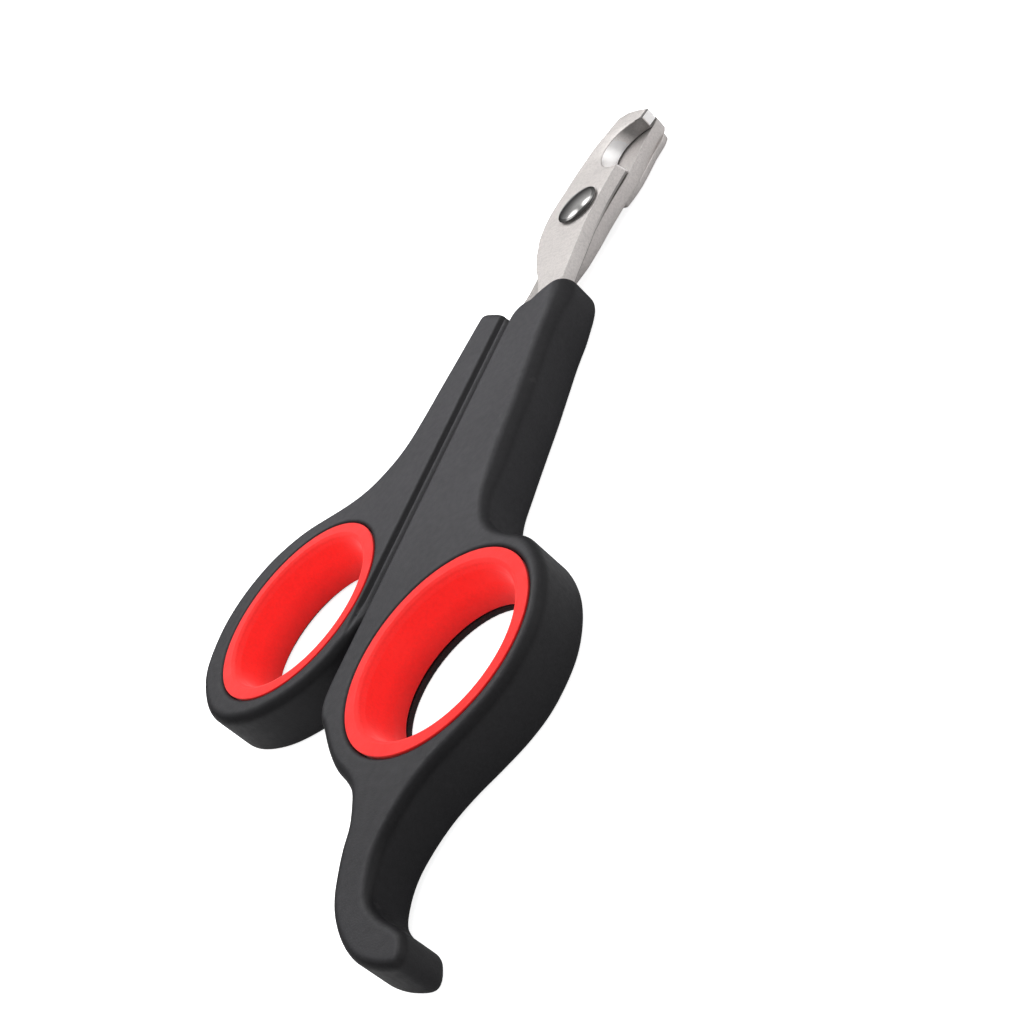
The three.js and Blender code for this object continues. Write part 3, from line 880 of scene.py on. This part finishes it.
def blade_steel(name, colour):
    m = Surface(name)
    grain = m.noise(scale=900, detail=3, rough=.6, stretch=(1, 9, 9), turn=(0, 0, .35))
    across = m.noise(scale=1400, detail=2, rough=.5, stretch=(12, 1, 1), turn=(0, 0, -.15))
    base = m.ramp(m.noise(scale=110), (.3, tuple(.93 * c for c in colour)), (.72, colour))
    base = m.multiply(base, m.ramp(grain, (.3, .92), (.7, 1.03)))
    pits = m.noise(scale=3200, detail=3, rough=.7)
    # times the mesh's tone and painted light and shade
    base = m.with_tone_and_painted_shading(m.multiply(base, m.ramp(pits, (.34, .87), (.6, 1.03))))
    wear = m.noise(scale=600, rough=.6, stretch=(1, 5, 5))
    m.fill(m.bsdf, Base_Color=base, Metallic=.7, Roughness=m.ramp(wear, (.3, .32), (.7, .46)))
    m.bump((grain, .14, .00004), (across, .12, .00003),
           (m.noise(scale=2600, detail=2), .10, .00002))
    return m.material


def pivot_steel():
    m = Surface("pivot_polished_steel")
    # times the mesh's tone and painted light and shade
    base = m.with_tone_and_painted_shading(m.ramp(m.noise(scale=400), (.3, (.27, .265, .26)), (.7, (.33, .325, .32))))
    m.fill(m.bsdf, Base_Color=base, Metallic=1.0,
           Roughness=m.ramp(m.noise(scale=900, detail=3), (.35, .08), (.7, .13)))
    m.bump((m.noise(scale=1600, detail=3, rough=.5), .10, .00002),
           (m.noise(scale=300, detail=2), .06, .00006))
    return m.material


HANDLE, LINER = handle_plastic(), liner_rubber()
FRONT_STEEL = blade_steel("blade_satin_steel", (.795, .752, .727))
# the rear blade takes a darker copy of the same steel: painted shade
REAR_STEEL_PAINTED_SHADE = blade_steel("rear_blade_steel_painted_shade", (.725, .682, .66))
# the jaw pad takes a darker copy of the steel again: painted shade on its side, which turns away from
# the light
JAW_STEEL_PAINTED_SHADE = blade_steel("jaw_pad_steel_painted_shade", (.70, .66, .64))
POLISHED = pivot_steel()

# object, CAD piece it replaces, body it rides, slot, material
for obj, node, body, slot, material in (
    (finger, "finger_handle", "finger_side", "handle_plastic", HANDLE),
    (thumb, "thumb_handle", "thumb_side", "handle_plastic", HANDLE),
    (finger_liner, "finger_ring_liner", "finger_side", "liner_rubber", LINER),
    (thumb_liner, "thumb_ring_liner", "thumb_side", "liner_rubber", LINER),
    (front, "front_blade", "finger_side", "blade_steel", FRONT_STEEL),
    (rear, "rear_blade", "thumb_side", "blade_steel", REAR_STEEL_PAINTED_SHADE),
    (nut, "pivot_dome_nut", "finger_side", "pivot_steel", POLISHED),
    (screw, "pivot_screw", "finger_side", "pivot_steel", POLISHED),
    (washer, "tension_washer", "finger_side", "pivot_steel", POLISHED),
):
    obj.data.materials.append(material)
    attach(obj, body)
    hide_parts(node)
# the jaw pad's faces take the darker steel, painted shade
rear.data.materials.append(JAW_STEEL_PAINTED_SHADE)
for poly in rear.data.polygons[FIRST_JAW_FACE:]:
    poly.material_index = 1
for node in frame["nodes"].values():
    node.data.materials.clear()
    node.data.materials.append(HANDLE)


# ------------------------------------------------------------------ floor
def floor_paint():
    """Pale paint that glows, most to the camera, and looks plain grey in reflections."""
    material = bpy.data.materials.new("studio_floor_paint")
    m = NodeTree(material)
    rays = m.add("ShaderNodeLightPath").outputs
    glow = m.math("ADD", m.math("MULTIPLY", rays["Is Camera Ray"], .6), .2)
    pale = m.series("ShaderNodeBsdfDiffuse", (.80, .80, .80, 1))
    emission = m.add("ShaderNodeEmission", Strength=glow).outputs[0]
    lit = m.series("ShaderNodeAddShader", pale, emission)
    grey = m.series("ShaderNodeBsdfDiffuse", (.40, .40, .40, 1))
    paint = m.series("ShaderNodeMixShader", rays["Is Glossy Ray"], lit, grey)
    m.add("ShaderNodeOutputMaterial", Surface=paint)
    return material


ground = float(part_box("finger_handle")[0][2]) - .00002
mesh = bpy.data.meshes.new("studio_floor")
mesh.from_pydata([(x, y, ground) for x, y in ((-30, -30), (30, -30), (30, 30), (-30, 30))],
                 [], [(0, 1, 2, 3)])
floor = link_object("studio_floor", mesh)
mesh.materials.append(floor_paint())

# ------------------------------------------------------------------ world
world = bpy.data.worlds.new("studio")
bpy.context.scene.world = world
w = NodeTree(world)
toward = w.add("ShaderNodeTexCoord").outputs["Generated"]
rays = w.add("ShaderNodeLightPath").outputs


def sky_dot(*direction):
    return w.series("ShaderNodeVectorMath", toward, direction,
                    operation="DOT_PRODUCT", output="Value")


def clamped(value):
    return w.add("ShaderNodeClamp", Value=value).outputs[0]


def panel(azimuth, height, outer, inner, power):
    """Round glowing panel, full inside the inner angle and gone at the outer; degrees."""
    a, e = math.radians(azimuth), math.radians(height)
    rim = math.cos(math.radians(outer))
    facing = sky_dot(math.cos(a) * math.cos(e), math.sin(a) * math.cos(e), math.sin(e))
    near = w.math("DIVIDE", w.math("SUBTRACT", facing, rim), math.cos(math.radians(inner)) - rim)
    return w.math("MULTIPLY", clamped(near), power)


# reflections see a graded sky, brightest on the +Y side, with three panels in it
grade = w.ramp(w.axis(toward, "Z"), (.0, (.07, .07, .075)), (.2, .12), (.36, .38), (.5, .8),
               (.62, 1.5), (1.0, 1.2))
side = clamped(sky_dot(-.342, .94, 0))
brightness = w.math("MULTIPLY_ADD", w.math("POWER", side, 2.0), .95, .28)
glow = w.math("ADD", panel(azimuth=120, height=46.5, outer=8.5, inner=5, power=4.2),
              panel(azimuth=151, height=46, outer=9.5, inner=5.5, power=4.2))
glow = w.math("ADD", glow, panel(azimuth=48, height=20, outer=34, inner=16, power=.95))
sky = w.add("ShaderNodeVectorMath")
sky.operation = "SCALE"
w.fill(sky, Vector=grade, Scale=brightness)
sky = w.series("ShaderNodeVectorMath", sky.outputs[0], glow, operation="ADD")
# other rays see an even light, and the camera sees white
seen = w.mix((.95, .95, .96), sky, rays["Is Glossy Ray"])
seen = w.mix(seen, (1.0, 1.0, 1.0), rays["Is Camera Ray"])
background = w.add("ShaderNodeBackground", Color=seen)
w.add("ShaderNodeOutputWorld", Surface=background.outputs[0])

# ------------------------------------------------------------------ light and camera
light = bpy.data.lights.new("key_softbox", "AREA")
light.shape = "SQUARE"
light.size = .4
light.energy = 3.6
softbox = link_object("key_softbox", light)
softbox.location = (-.42, .20, .46)
aim = Vector((0, -.02, 0))
softbox.rotation_mode = "QUATERNION"
softbox.rotation_quaternion = (Vector((-.42, .20, .46)) - aim).to_track_quat("Z", "Y")
softbox.visible_glossy = False

lens = bpy.data.cameras.new("camera")
lens.lens = 57.7765
lens.sensor_width = 36
lens.clip_start = .01
lens.clip_end = 100
camera = link_object("camera", lens)
# the camera's own axes and its place in mm about the pivot
right = (.656401, .354282, -.66605)
up = (.183657, .781269, .596564)
back = (.731716, -.51391, .447759)
eye = (np.array([136.99, -137.697, 76.615]) + PIVOT) / MM
camera.matrix_world = Matrix([*zip(right, up, back, eye), (0, 0, 0, 1)])
bpy.context.scene.camera = camera

bpy.context.scene.view_settings.view_transform = "Standard"
bpy.context.scene.view_settings.look = "None"

bpy.context.view_layer.update()
